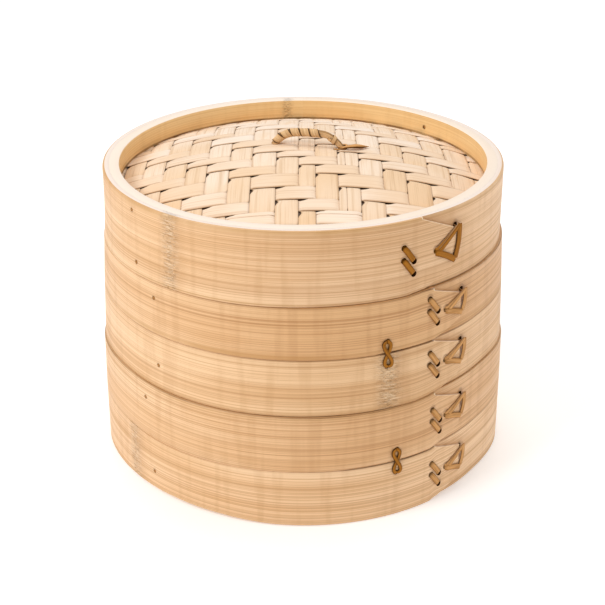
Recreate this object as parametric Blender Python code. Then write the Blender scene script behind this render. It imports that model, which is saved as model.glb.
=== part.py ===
"""Two-tier bamboo steamer basket with a domed, woven lid.

Each tier is an inner hoop with two lapped outer bands round it, and a floor of slats on two
crossbars. The inner hoop stands above the bands as a collar, which the tier above or the lid
slips over. Frame: metres, +Z up, origin on the axis at the base, front at -Y.
Lengths below are in millimetres, azimuths in degrees from the front towards +X.
"""
import math

import bmesh
import bpy
from mathutils import Vector

MM = 0.001
GAP = 0.3  # clearance that touching pieces keep
SEGMENTS = 60

# Driving dimensions, heights above the base
LOWER_BASE, LOWER_SEAM, LOWER_TOP = 0.0, 30.7, 60.4
UPPER_BASE, UPPER_SEAM, UPPER_TOP = 60.7, 90.2, 117.0
LID_BASE, LID_TOP = 117.3, 154.2
LOWER_RADIUS, UPPER_RADIUS, LID_RADIUS = 102.9, 102.1, 101.0

# Hoops
BAND_INNER = 98.0
COLLAR_OUTER, COLLAR_INNER = 97.6, 94.6
COLLAR_RISE = 7.6
SOCKET_DEPTH = 8.6
LID_HOOP_INNER = 98.2
LINER_OUTER, LINER_INNER = 97.9, 92.8
EASED_EDGE = 0.5

# Floor of a tier, heights above the tier's own base
BAR_LOW, BAR_HIGH, BAR_WIDTH, BAR_X = 10.4, 15.4, 12.0, 32.0
SLAT_THICK, SLAT_WIDTH, SLAT_PITCH, SLAT_COUNT = 1.8, 14.0, 19.4, 9

# Woven panel of the lid
PANEL_EDGE_LOW, PANEL_THICK, PANEL_RISE = 141.1, 1.6, 17.1
PANEL_FLAT_RADIUS = 92.2
SUPPORT_BASE = 132.2

# Lapped ends and lacing
LAP_DEPTH = 1.2
LAP_FADE = 34.0  # degrees over which the layer beneath comes back out to full radius
STRAND_WIDTH, STRAND_THICK = 2.4, 1.0
LACE_HOLE, PEG_HOLE, PEG_RADIUS = 1.65, 1.4, 1.0
TIE_REACH = 6.5  # from the seam to each of the tie's holes
LEG_RADIUS = 0.9

# The handle's route in its own upright plane: distance to the right, height
HANDLE_ROUTE = ((-15.8, 154.0), (-15.8, 159.4), (-14.0, 162.9), (-10.0, 165.5), (-1.0, 165.9),
                (8.2, 165.7), (14.0, 164.2), (16.6, 162.2), (18.9, 159.9), (20.3, 157.4),
                (20.5, 153.4))
HANDLE_OFFSET, HANDLE_SLOPE = 2.0, -0.207  # its plane's place behind the centre, and its turn
CORE_RADIUS, WRAP_THICK = 0.9, 0.4
KNOT_RADIUS = 2.7

BAMBOO = ("bamboo", (0.72, 0.50, 0.30), 0.55)
BAMBOO_INNER = ("bamboo_inner", (0.78, 0.52, 0.24), 0.5)
SPLINT = ("splint", (0.90, 0.77, 0.58), 0.6)
RATTAN = ("rattan", (0.42, 0.26, 0.10), 0.55)
CANE = ("cane", (0.74, 0.54, 0.31), 0.5)


def clear_scene():
    for item in list(bpy.data.objects):
        bpy.data.objects.remove(item)


def material(name, colour, roughness):
    made = bpy.data.materials.get(name) or bpy.data.materials.new(name)
    made.use_nodes = True
    shader = made.node_tree.nodes["Principled BSDF"]
    shader.inputs["Base Color"].default_value = (*colour, 1)
    shader.inputs["Roughness"].default_value = roughness
    shader.inputs["Metallic"].default_value = 0
    return made


def polar(azimuth, radius, height):
    """The point at an azimuth, a radius and a height, in metres."""
    angle = math.radians(azimuth)
    return Vector((radius * math.sin(angle), -radius * math.cos(angle), height)) * MM


def make_object(name, bm, look=None):
    bmesh.ops.recalc_face_normals(bm, faces=bm.faces)
    mesh = bpy.data.meshes.new(name)
    bm.to_mesh(mesh)
    bm.free()
    made = bpy.data.objects.new(name, mesh)
    bpy.context.collection.objects.link(made)
    if look:
        mesh.materials.append(material(*look))
        mesh.shade_smooth()
        mesh.set_sharp_from_angle(angle=math.radians(35))
    return made


def boolean(target, tool, operation="DIFFERENCE"):
    """Cuts or joins with the exact solver, and keeps only the result."""
    modifier = target.modifiers.new(operation.lower(), "BOOLEAN")
    modifier.operation = operation
    modifier.solver = "EXACT"
    modifier.object = tool
    graph = bpy.context.evaluated_depsgraph_get()
    result = bpy.data.meshes.new_from_object(target.evaluated_get(graph))
    target.modifiers.clear()
    target.data = result
    bpy.data.objects.remove(tool)


def loft(bm, loops, close=False, ladder=False):
    """Joins closed loops of points with quads, and caps or closes the two ends.

    A ladder's end is capped with quads between its two sides, because it isn't flat.
    """
    rows = [[bm.verts.new(point) for point in loop] for loop in loops]
    pairs = list(zip(rows, rows[1:]))
    if close:
        pairs.append((rows[-1], rows[0]))
    for low, high in pairs:
        for i in range(len(low)):
            j = (i + 1) % len(low)
            bm.faces.new((low[i], low[j], high[j], high[i]))
    if close:
        return
    for row in (rows[0][::-1], rows[-1]):
        if ladder:
            for i in range(len(row) // 2 - 1):
                bm.faces.new((row[i], row[i + 1], row[-2 - i], row[-1 - i]))
        else:
            bm.faces.new(row)


def hoop(name, inner, outer, low, high, look, edge=0):
    """A plain ring, whose outer corners may be eased."""
    profile = [(inner, low), (outer, low), (outer, high), (inner, high)]
    if edge:
        profile[1:3] = ((outer - edge, low), (outer, low + edge),
                        (outer, high - edge), (outer - edge, high))
    bm = bmesh.new()
    loops = []
    for step in range(SEGMENTS):
        azimuth = 360 * step / SEGMENTS
        loops.append([polar(azimuth, radius, height) for radius, height in profile])
    loft(bm, loops, close=True)
    return make_object(name, bm, look)


def radial_pin(bm, azimuth, height, radius, low, high, sides=6):
    """A short prism that points at the axis, as a peg or the cutter of its hole."""
    loops = []
    for depth in (low, high):
        loop = []
        for side in range(sides):
            turn = 2 * math.pi * (side + 0.5) / sides
            shift = math.degrees(radius * math.cos(turn) / high)
            loop.append(polar(azimuth + shift, depth, height + radius * math.sin(turn)))
        loops.append(loop)
    loft(bm, loops)


def drill(target, holes, low, high):
    """Drills radial holes, each an azimuth, a height and a radius."""
    bm = bmesh.new()
    for azimuth, height, radius in holes:
        radial_pin(bm, azimuth, height, radius, low, high)
    boolean(target, make_object("drill", bm))


def peg(name, azimuth, height, low, high):
    bm = bmesh.new()
    radial_pin(bm, azimuth, height, PEG_RADIUS, low, high)
    return make_object(name, bm, RATTAN)


def cut_lap(target, lap, radius, low, high):
    """Takes the outer layer away beyond its pointed end, so the layer beneath shows."""
    tip, top_corner, bottom_corner = lap["tip"], lap["top"], lap["bottom"]
    point_high, point_low = high - lap["shoulder"], low + lap["shoulder"]
    edge = [(bottom_corner, low), (tip, point_low), (tip, point_high), (top_corner, high)]
    heights = [low - 2, low, (low + point_low) / 2, point_low,
               point_high, (high + point_high) / 2, high, high + 2]

    def edge_azimuth(height):
        if height <= edge[0][1]:
            return edge[0][0]
        for (az_0, z_0), (az_1, z_1) in zip(edge, edge[1:]):
            if height <= z_1:
                return az_0 + (az_1 - az_0) * (height - z_0) / (z_1 - z_0)
        return edge[-1][0]

    columns = 8
    loops = []
    for column in range(columns + 1):
        share = column / columns
        floor = radius - LAP_DEPTH + (LAP_DEPTH + 0.25) * share ** 1.5
        near, far = [], []
        for height in heights:
            start = edge_azimuth(height)
            azimuth = start + (tip + LAP_FADE - start) * share
            near.append(polar(azimuth, floor, height))
            far.append(polar(azimuth, radius + 3, height))
        loops.append(near + far[::-1])
    bm = bmesh.new()
    loft(bm, loops, ladder=True)
    boolean(target, make_object("lap_cutter", bm))


def staple(name, start, end, surface, bottom):
    """One flat lacing strand over the surface, with a leg down each of its two holes."""
    top = surface + GAP + STRAND_THICK
    foot = bottom + GAP + 0.1
    (az_0, z_0), (az_1, z_1) = start, end
    run = Vector(((az_1 - az_0) * math.radians(1) * surface, z_1 - z_0))
    along = run.normalized()
    across = Vector((-along.y, along.x)) * STRAND_WIDTH / 2
    half, leg = run.length / 2, STRAND_THICK
    profile = [(-half - leg / 2, foot), (-half + leg / 2, foot), (-half + leg / 2, top - leg),
               (0, top - leg), (half - leg / 2, top - leg), (half - leg / 2, foot),
               (half + leg / 2, foot), (half + leg / 2, top), (0, top), (-half - leg / 2, top)]
    loops = []
    for side in (-1, 1):
        loop = []
        for distance, radius in profile:
            flat = along * distance + across * side
            azimuth = (az_0 + az_1) / 2 + math.degrees(flat.x / surface)
            loop.append(polar(azimuth, radius, (z_0 + z_1) / 2 + flat.y))
        loops.append(loop)
    bm = bmesh.new()
    loft(bm, loops)
    return make_object(name, bm, RATTAN)


def triangle_outlines(corners, half_width):
    """The inner and outer outline of a triangular loop, with points spread along each side."""
    inner, outer = [], []
    middle = sum(corners, Vector((0, 0))) / 3
    for before, here, after in zip(corners[-1:] + corners[:-1], corners, corners[1:] + corners[:1]):
        bisector = ((before - here).normalized() + (after - here).normalized()).normalized()
        half_angle = (before - here).angle(after - here) / 2
        inner.append(here + bisector * half_width / math.sin(half_angle))
        outer.append(here - bisector * half_width * 1.5)
    steps = 4
    spread = []
    for outline in (inner, outer):
        points = []
        for start, end in zip(outline, outline[1:] + outline[:1]):
            points += [start.lerp(end, step / steps) - middle for step in range(steps)]
        spread.append(points)
    return middle, spread[0], spread[1]


def lacing_triangle(name, corners, surface, bottom):
    """A three-sided loop of flat strand with a leg down a hole at each corner."""
    low, high = surface + GAP, surface + GAP + STRAND_THICK
    scale = math.radians(1) * surface
    flat = [Vector((azimuth * scale, height)) for azimuth, height in corners]
    middle, inner, outer = triangle_outlines(flat, STRAND_WIDTH / 2)
    loops = []
    for near, far in zip(inner, outer):
        loops.append([polar((middle.x + point.x) / scale, radius, middle.y + point.y)
                      for point, radius in ((near, low), (far, low), (far, high), (near, high))])
    bm = bmesh.new()
    loft(bm, loops, close=True)
    made = make_object(name, bm, RATTAN)
    for azimuth, height in corners:
        leg = bmesh.new()
        radial_pin(leg, azimuth, height, LEG_RADIUS, bottom + GAP + 0.1, high - 0.2)
        boolean(made, make_object("leg", leg), "UNION")
    return made


def seam_tie(name, azimuth, seam, surface, bottom):
    """A figure of eight of thin strand across the seam between two bands."""
    low, high = surface + GAP, surface + GAP + 0.9
    made = None
    for sign in (1, -1):
        loops = []
        for step in range(12):
            turn = 2 * math.pi * step / 12
            loop = []
            for grow, radius in ((-0.6, low), (0.6, low), (0.6, high), (-0.6, high)):
                across = (1.9 + grow) * math.sin(turn)
                up = sign * 3.3 + (3.3 + grow) * math.cos(turn)
                loop.append(polar(azimuth + math.degrees(across / surface), radius, seam + up))
            loops.append(loop)
        bm = bmesh.new()
        loft(bm, loops, close=True)
        half = make_object(name, bm, RATTAN)
        leg = bmesh.new()
        radial_pin(leg, azimuth, seam + sign * TIE_REACH, 0.8, bottom + GAP + 0.1, high - 0.15)
        boolean(half, make_object("leg", leg), "UNION")
        if made:
            boolean(made, half, "UNION")
        else:
            made = half
    made.name = name
    return made


def laced_band(name, surface, inner, low, high, lap, more_holes=()):
    """A lapped band with its lacing triangle, its two stitches and all their holes."""
    band = hoop(name, inner, surface, low, high, BAMBOO, EASED_EDGE)
    cut_lap(band, lap, surface, low, high)
    triangle = [(lap["tip"] + azimuth, lap["middle"] + up) for azimuth, up in lap["triangle"]]
    stitches = []
    for part, rise in (("upper", lap["stitch_rise"]), ("lower", lap["stitch_rise"] - 6.3)):
        start = (lap["stitch"], lap["middle"] + rise)
        end = (lap["stitch"] + 3.2, lap["middle"] + rise - 7.6)
        stitches.append((part, start, end))
    holes = [(azimuth, height, LACE_HOLE) for azimuth, height in triangle]
    for _, start, end in stitches:
        holes += [(*start, LACE_HOLE), (*end, LACE_HOLE)]
    drill(band, holes + list(more_holes), inner - 2, surface + 2)
    lacing_triangle(f"{name}_triangle", triangle, surface, inner)
    for part, start, end in stitches:
        staple(f"{name}_stitch_{part}", start, end, surface, inner)
    return band


def lap_shape(tip, middle, stitch, reach=10.6, shoulder=6.5, size=7.3, width=6.2, rise=6.0):
    """Where a band's pointed end, its triangle and its stitches lie."""
    return {"tip": tip, "top": tip - reach, "bottom": tip - reach - 1, "shoulder": shoulder,
            "middle": middle, "triangle": ((0.3, size), (-width, 0.0), (0.6, -size)),
            "stitch": stitch, "stitch_rise": rise}


def outline_block(name, outline, low, high, look):
    bm = bmesh.new()
    loft(bm, [[Vector((x, y, z)) * MM for x, y in outline] for z in (low, high)])
    return make_object(name, bm, look)


def chord_outline(centre, width, radius, along_x):
    """A strip across the tier whose ends follow the hoop."""
    sides = [centre + width * share for share in (-0.5, -0.17, 0.17, 0.5)]
    ends = [(math.sqrt(radius ** 2 - side ** 2), side) for side in sides]
    outline = ends + [(-reach, side) for reach, side in ends[::-1]]
    return outline if along_x else [(side, reach) for reach, side in outline]


def tier_floor(prefix, base):
    for side, centre in (("left", -BAR_X), ("right", BAR_X)):
        outline = chord_outline(centre, BAR_WIDTH, COLLAR_OUTER - GAP, along_x=False)
        outline_block(f"{prefix}_crossbar_{side}", outline, base + BAR_LOW, base + BAR_HIGH, BAMBOO)
    low = base + BAR_HIGH + GAP
    for index in range(SLAT_COUNT):
        centre = (index - (SLAT_COUNT - 1) / 2) * SLAT_PITCH
        outline = chord_outline(centre, SLAT_WIDTH, COLLAR_INNER - 2 * GAP, along_x=True)
        outline_block(f"{prefix}_slat_{index + 1}", outline, low, low + SLAT_THICK, SPLINT)


def cut_bar_slots(inner_hoop, base):
    for centre in (-BAR_X, BAR_X):
        half = BAR_WIDTH / 2 + GAP
        bm = bmesh.new()
        corners = ((centre - half, -110), (centre + half, -110), (centre + half, 110),
                   (centre - half, 110))
        loft(bm, [[Vector((x, y, base + z)) * MM for x, y in corners]
                  for z in (BAR_LOW - GAP, BAR_HIGH + GAP)])
        boolean(inner_hoop, make_object("slot_cutter", bm))


def tier(prefix, base, seam, top, surface, laps, pegs, tie_azimuth):
    """One steaming tier: inner hoop, two laced bands, floor, pegs and seam tie."""
    inner_hoop = hoop(f"{prefix}_inner_hoop", COLLAR_INNER, COLLAR_OUTER,
                      base + SOCKET_DEPTH, top + COLLAR_RISE, BAMBOO_INNER)
    cut_bar_slots(inner_hoop, base)
    drill(inner_hoop, [(*place, PEG_HOLE) for place in pegs], COLLAR_INNER - 2, COLLAR_OUTER + 2)
    tie_seam = seam + GAP / 2
    for part, low, high, lap, place, sign in (("lower_band", base, seam, laps[0], pegs[0], -1),
                                              ("upper_band", seam + GAP, top, laps[1], pegs[1], 1)):
        more = [(*place, PEG_HOLE), (tie_azimuth, tie_seam + sign * TIE_REACH, 1.5)]
        laced_band(f"{prefix}_{part}", surface, BAND_INNER, low, high, lap, more)
    seam_tie(f"{prefix}_seam_tie", tie_azimuth, tie_seam, surface, BAND_INNER)
    for part, place in zip(("lower", "upper"), pegs):
        peg(f"{prefix}_peg_{part}", *place, COLLAR_INNER + 0.2, surface + 0.3)
    tier_floor(prefix, base)


def panel_height(radius):
    """Height of the woven panel's upper face."""
    share = min(radius / PANEL_FLAT_RADIUS, 1)
    return PANEL_EDGE_LOW + PANEL_THICK + PANEL_RISE * (1 - share ** 2)


def woven_panel(name, feet):
    """The lid's domed panel as a plain shell, with a hole for each foot of the handle."""
    radii = (97.9, PANEL_FLAT_RADIUS, 82, 66, 48, 28, 10)
    sides = SEGMENTS // 2
    bm = bmesh.new()
    rows = []
    for drop in (0, PANEL_THICK):
        for radius in radii:
            rows.append([bm.verts.new(polar(360 * side / sides, radius, panel_height(radius) - drop))
                         for side in range(sides)])
    upper, lower = rows[:len(radii)], rows[len(radii):]
    pairs = list(zip(upper, upper[1:])) + list(zip(lower, lower[1:])) + [(upper[0], lower[0])]
    for first, second in pairs:
        for side in range(sides):
            after = (side + 1) % sides
            bm.faces.new((first[side], first[after], second[after], second[side]))
    bm.faces.new(upper[-1])
    bm.faces.new(lower[-1])
    made = make_object(name, bm, SPLINT)
    for x, y in feet:
        cutter = bmesh.new()
        corners = [(x + 2.4 * math.cos(math.radians(45 * i)), y + 2.4 * math.sin(math.radians(45 * i)))
                   for i in range(8)]
        loft(cutter, [[Vector((u, v, z)) * MM for u, v in corners] for z in (140, 170)])
        boolean(made, make_object("foot_hole", cutter))
    return made


def sweep(name, path, radii, sides, look, flat=1.0):
    """Sweeps a round or flattened section along a path of points in millimetres."""
    bm = bmesh.new()
    loops = []
    normal = Vector((0, 1, 0))
    for index, point in enumerate(path):
        before, after = path[max(index - 1, 0)], path[min(index + 1, len(path) - 1)]
        tangent = (after - before).normalized()
        normal = (normal - tangent * normal.dot(tangent)).normalized()
        side = tangent.cross(normal)
        loop = []
        for step in range(sides):
            turn = 2 * math.pi * (step + 0.5) / sides
            offset = normal * math.cos(turn) * flat + side * math.sin(turn)
            loop.append((point + offset * radii[index]) * MM)
        loops.append(loop)
    loft(bm, loops)
    return make_object(name, bm, look)


def smooth_path(points, steps):
    """Points along a Catmull-Rom curve through the given points."""
    ends = [points[0] * 2 - points[1]] + list(points) + [points[-1] * 2 - points[-2]]
    path = []
    for a, b, c, d in zip(ends, ends[1:], ends[2:], ends[3:]):
        for step in range(steps):
            t = step / steps
            path.append(0.5 * ((2 * b) + (c - a) * t + (2 * a - 5 * b + 4 * c - d) * t ** 2
                               + (3 * b - a - 3 * c + d) * t ** 3))
    path.append(points[-1])
    return path


def handle_point(x, z):
    return Vector((x, HANDLE_OFFSET + HANDLE_SLOPE * x, z))


def handle():
    """The bent cane loop, the strip wound round its grip and the knot at its right foot."""
    route = [handle_point(x, z) for x, z in HANDLE_ROUTE]
    core = smooth_path(route, 3)
    sweep("handle_core", core, [CORE_RADIUS] * len(core), 8, CANE)
    handle_wrap(smooth_path(route[1:6], 24))
    handle_knot(handle_point(18.7, 160.2))


def handle_wrap(grip):
    """A flat strip in close turns along the grip."""
    turns, per_turn = 6.5, 10
    inner = CORE_RADIUS + GAP
    count = int(turns * per_turn)
    lengths = [0.0]
    for before, after in zip(grip, grip[1:]):
        lengths.append(lengths[-1] + (after - before).length)
    start, covered = 0.12, 0.86  # shares of the grip's length
    half_width = 0.38 * lengths[-1] * covered / turns
    bm = bmesh.new()
    loops = []
    for step in range(count + 1):
        share = start + covered * step / count
        index = next(i for i, length in enumerate(lengths) if length >= share * lengths[-1])
        tangent = (grip[index] - grip[index - 1]).normalized()
        side = tangent.cross(Vector((0, 0, 1))).normalized()
        turn = 2 * math.pi * step / per_turn
        out = side * math.cos(turn) + tangent.cross(side) * math.sin(turn)
        corners = ((-half_width, inner), (half_width, inner),
                   (half_width, inner + WRAP_THICK), (-half_width, inner + WRAP_THICK))
        loops.append([(grip[index] + tangent * along + out * lift) * MM
                      for along, lift in corners])
    loft(bm, loops)
    return make_object("handle_wrap", bm, CANE)


def handle_knot(centre):
    """One turn of strand round the right leg, with a short end and a long pointed tail."""
    path = [centre + Vector((-3.6, -3.2, -0.1))]
    for step in range(13):
        turn = math.radians(-110 + 30 * step)
        path.append(centre + Vector((KNOT_RADIUS * math.cos(turn), KNOT_RADIUS * math.sin(turn),
                                     -0.2 + 0.1 * step)))
    path += [centre + Vector((4.6, -1.4, 0.4)), centre + Vector((8.0, 0.6, -0.4)),
             centre + Vector((13.7, 4.5, -2.0))]
    radii = [0.45] * (len(path) - 3) + [0.65, 0.75, 0.12]
    return sweep("handle_knot", path, radii, 6, RATTAN)


def lid():
    lap = lap_shape(45.0, 136.6, 27.0, reach=12.5, shoulder=9.5, size=9.2, width=7.7, rise=5.4)
    rim_pegs = {"left": (-52.7, 149.3), "back": (134.0, 147.8)}
    hem_peg = (-51.4, 123.4)
    holes = [(*place, PEG_HOLE) for place in (*rim_pegs.values(), hem_peg)]
    laced_band("lid_hoop", LID_RADIUS, LID_HOOP_INNER, LID_BASE, LID_TOP, lap, holes)
    edge_top = PANEL_EDGE_LOW + PANEL_THICK
    liner = hoop("lid_rim_liner", LINER_INNER, LINER_OUTER, edge_top + GAP, LID_TOP, BAMBOO_INNER)
    drill(liner, [(*place, PEG_HOLE) for place in rim_pegs.values()],
          LINER_INNER - 2, LINER_OUTER + 2)
    hoop("lid_support_ring", LINER_INNER, LINER_OUTER, SUPPORT_BASE, PANEL_EDGE_LOW - GAP,
         BAMBOO_INNER)
    for part, place in rim_pegs.items():
        peg(f"lid_peg_{part}", *place, LINER_INNER + 0.2, LID_RADIUS + 0.3)
    peg("lid_peg_hem", *hem_peg, LID_HOOP_INNER + 0.3, LID_RADIUS + 0.3)
    ends = HANDLE_ROUTE[0], HANDLE_ROUTE[-1]
    woven_panel("lid_woven_panel", [handle_point(*end).xy for end in ends])
    handle()


def main():
    clear_scene()
    tier("lower_tier", LOWER_BASE, LOWER_SEAM, LOWER_TOP, LOWER_RADIUS,
         (lap_shape(50.0, 16.2, 38.2, rise=5.6), lap_shape(49.0, 47.0, 37.6, rise=5.8)),
         ((-46.7, 11.0), (-49.2, 52.2)), 26.1)
    tier("upper_tier", UPPER_BASE, UPPER_SEAM, UPPER_TOP, UPPER_RADIUS,
         (lap_shape(48.3, 77.6, 36.2, rise=6.8), lap_shape(47.5, 105.0, 35.4, rise=8.2)),
         ((-43.2, 73.7), (-43.8, 109.4)), 22.6)
    lid()


main()
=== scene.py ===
"""Looks of the two-tier bamboo steamer with its woven lid.

Lengths are in millimetres unless a name says otherwise, azimuths in degrees from the front
towards +X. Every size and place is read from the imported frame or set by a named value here.
"""
import math
import random
from math import cos, degrees, pi, radians, sin, sqrt

import bmesh
import bpy
import numpy as np
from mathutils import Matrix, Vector, noise


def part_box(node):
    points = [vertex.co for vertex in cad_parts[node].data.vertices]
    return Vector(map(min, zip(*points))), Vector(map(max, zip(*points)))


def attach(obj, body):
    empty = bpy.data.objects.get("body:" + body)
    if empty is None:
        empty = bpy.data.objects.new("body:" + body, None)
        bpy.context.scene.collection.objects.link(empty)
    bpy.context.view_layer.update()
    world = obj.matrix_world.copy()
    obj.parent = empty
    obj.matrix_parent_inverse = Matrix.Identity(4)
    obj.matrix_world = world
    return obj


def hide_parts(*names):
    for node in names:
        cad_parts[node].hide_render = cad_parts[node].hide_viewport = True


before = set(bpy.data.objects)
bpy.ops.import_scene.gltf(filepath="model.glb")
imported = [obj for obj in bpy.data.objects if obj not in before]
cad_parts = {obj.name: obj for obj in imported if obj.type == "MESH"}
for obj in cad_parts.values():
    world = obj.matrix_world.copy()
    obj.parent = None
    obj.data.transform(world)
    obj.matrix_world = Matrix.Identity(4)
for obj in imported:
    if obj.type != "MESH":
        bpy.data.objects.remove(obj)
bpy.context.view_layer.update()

MM = 0.001


# ---------------- reading the frame

def read_all(elements, what, width=1, kind=float):
    values = np.empty(len(elements) * width, kind)
    elements.foreach_get(what, values)
    return values.reshape(-1, width) if width > 1 else values


def node_points(node):
    """The node's corners in millimetres."""
    return read_all(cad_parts[node].data.vertices, "co", 3) / MM


def to_polar(points):
    """Azimuth, radius and height of each point."""
    azimuth = np.degrees(np.arctan2(points[..., 0], -points[..., 1]))
    return azimuth, np.hypot(points[..., 0], points[..., 1]), points[..., 2]


def ring_size(node):
    """Inner radius, outer radius, bottom and top of a hoop."""
    _, radius, height = to_polar(node_points(node))
    return radius.min(), radius.max(), height.min(), height.max()


def legs(node):
    """Azimuth and height of each leg of a lacing piece, the highest first."""
    azimuth, radius, height = to_polar(node_points(node))
    feet = radius < radius.min() + 0.25
    groups = []
    for place in sorted(zip(azimuth[feet], height[feet])):
        near = [g for g in groups if abs(g[0][0] - place[0]) < 1.9 and abs(g[0][1] - place[1]) < 3]
        if not near:
            near = [[]]
            groups += near
        near[0].append(place)
    return sorted((tuple(np.mean(g, axis=0)) for g in groups), key=lambda leg: -leg[1])


def node_place(node):
    """Azimuth and height of a small node."""
    low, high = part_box(node)
    azimuth, _, height = to_polar(np.array((low + high) / 2) / MM)
    return float(azimuth), float(height)


def polar(azimuth, radius, height):
    angle = radians(azimuth)
    return Vector((radius * sin(angle), -radius * cos(angle), height))


def smooth(share):
    share = min(max(share, 0.0), 1.0)
    return share * share * (3 - 2 * share)


def wave(*place, seed=0.0):
    """Smooth noise from -1 to 1."""
    x, y, z = (*place, 0.0, 0.0)[:3]
    return noise.noise(Vector((x + 17.3 * seed, y - 9.1 * seed, z + 4.7 * seed)))


# ---------------- building meshes

def add_object(name, data):
    thing = bpy.data.objects.new(name, data)
    bpy.context.scene.collection.objects.link(thing)
    return thing


def new_piece(name, points, faces):
    """A mesh object from points in millimetres."""
    mesh = bpy.data.meshes.new(name)
    mesh.from_pydata([Vector(point) * MM for point in points], [], faces)
    bm = bmesh.new()
    bm.from_mesh(mesh)
    bmesh.ops.recalc_face_normals(bm, faces=bm.faces)
    bm.to_mesh(mesh)
    bm.free()
    return add_object(name, mesh)


def loft(loops, close=False):
    """Points and faces that join closed loops, with caps or as a ring."""
    size = len(loops[0])
    points = [point for loop in loops for point in loop]
    faces = []
    spans = len(loops) if close else len(loops) - 1
    for row in range(spans):
        low, high = row * size, (row + 1) % len(loops) * size
        for i in range(size):
            j = (i + 1) % size
            faces.append((low + i, low + j, high + j, high + i))
    if not close:
        faces += [tuple(range(size))[::-1], tuple(range(len(points) - size, len(points)))]
    return points, faces


def add_mesh(parts, points, faces):
    start = len(parts[0])
    parts[0].extend(points)
    parts[1].extend(tuple(start + i for i in face) for face in faces)


def cut(target, tool):
    modifier = target.modifiers.new("cut", "BOOLEAN")
    modifier.operation = "DIFFERENCE"
    modifier.solver = "EXACT"
    modifier.object = tool
    graph = bpy.context.evaluated_depsgraph_get()
    result = bpy.data.meshes.new_from_object(target.evaluated_get(graph))
    target.modifiers.clear()
    target.data = result
    bpy.data.objects.remove(tool)


def corner_arrays(mesh):
    """Each face corner's point, and its face's middle and normal."""
    points, middles = read_all(mesh.vertices, "co", 3) / MM, read_all(mesh.polygons, "center", 3) / MM
    corner_point = read_all(mesh.loops, "vertex_index", kind=int)
    face = np.repeat(np.arange(len(middles)), read_all(mesh.polygons, "loop_total", kind=int))
    return points[corner_point], middles[face], read_all(mesh.polygons, "normal", 3)[face]


def store(mesh, name, values):
    layer = mesh.attributes.new(name, "FLOAT_VECTOR", "CORNER")
    layer.data.foreach_set("vector", np.ascontiguousarray(values, dtype=np.float32).ravel())


def paint_points(piece, grains, marks):
    """Stores each point's grain and mark."""
    vertex = read_all(piece.data.loops, "vertex_index", kind=int)
    store(piece.data, "grain", np.array(grains)[vertex])
    store(piece.data, "mark", np.array(marks)[vertex])


def finish_piece(piece, body, material, node, sharp=40):
    piece.data.shade_smooth()
    piece.data.set_sharp_from_angle(angle=radians(sharp))
    piece.data.materials.clear()
    piece.data.materials.append(material)
    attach(piece, body)
    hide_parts(node)
    return piece


# ---------------- materials

class Graph:
    """A Principled material and short ways to add nodes to it."""

    def __init__(self, name):
        self.material = bpy.data.materials.new(name)
        self.material.use_nodes = True
        self.tree = self.material.node_tree
        self.shader = self.tree.nodes["Principled BSDF"]

    def put(self, socket, value):
        if isinstance(value, bpy.types.NodeSocket):
            self.tree.links.new(value, socket)
        else:
            socket.default_value = value

    def add(self, kind, inputs, **settings):
        node = self.tree.nodes.new("ShaderNode" + kind)
        for name, value in settings.items():
            setattr(node, name, value)
        for name, value in inputs.items():
            self.put(node.inputs[name], value)
        return node.outputs

    def attribute(self, name):
        return self.add("SeparateXYZ", {0: self.add("Attribute", {}, attribute_name=name)["Vector"]})

    def vector(self, x, y, z):
        return self.add("CombineXYZ", {0: x, 1: y, 2: z})[0]

    def math(self, operation, a, b=0.0, clamp=False):
        return self.add("Math", {0: a, 1: b}, operation=operation, use_clamp=clamp)[0]

    def times(self, a, b, clamp=False):
        return self.math("MULTIPLY", a, b, clamp)

    def noise(self, vector, detail=2.0, roughness=0.5):
        inputs = {"Vector": vector, "Scale": 1.0, "Detail": detail, "Roughness": roughness}
        return self.add("TexNoise", inputs)["Fac"]

    def streaks(self, grain, length, width, detail=2.0, roughness=0.5):
        """Noise drawn out along the fibre."""
        along, across, seed = grain
        place = self.vector(self.math("DIVIDE", along, length), self.math("DIVIDE", across, width), seed)
        return self.noise(place, detail, roughness)

    def steps(self, value, low, high, start=0.0, end=1.0):
        """Maps low..high smoothly to start..end."""
        inputs = dict(enumerate((value, low, high, start, end)))
        return self.add("MapRange", inputs, interpolation_type="SMOOTHSTEP")[0]

    def near(self, value, place, width):
        """1 at a place, falling smoothly to 0 at a width from it."""
        apart = self.math("ABSOLUTE", self.math("SUBTRACT", value, place))
        return self.steps(apart, 0.0, width, 1.0, 0.0)

    def distance(self, vector, place):
        return self.add("VectorMath", {0: vector, 1: (*place, 0.0)}, operation="DISTANCE")["Value"]

    def mix(self, factor, a, b, mode="MIX"):
        a, b = [(*colour, 1.0) if isinstance(colour, tuple) else colour for colour in (a, b)]
        return self.add("Mix", {0: factor, 6: a, 7: b}, data_type="RGBA", blend_type=mode)[2]

    def layers(self, colour, *rows):
        """Lays tints over a colour, each (noise, from, to, strength, tint)."""
        for value, low, high, strength, tint in rows:
            colour = self.mix(self.steps(value, low, high, 0.0, strength), colour, tint)
        return colour

    def bump(self, height, distance):
        return self.add("Bump", {"Distance": distance, "Height": height})[0]

    def finish(self, colour, roughness, normal, specular):
        names = ("Base Color", "Roughness", "Normal", "Specular IOR Level")
        for name, value in zip(names, (colour, roughness, normal, specular)):
            self.put(self.shader.inputs[name], value)
        return self.material


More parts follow.
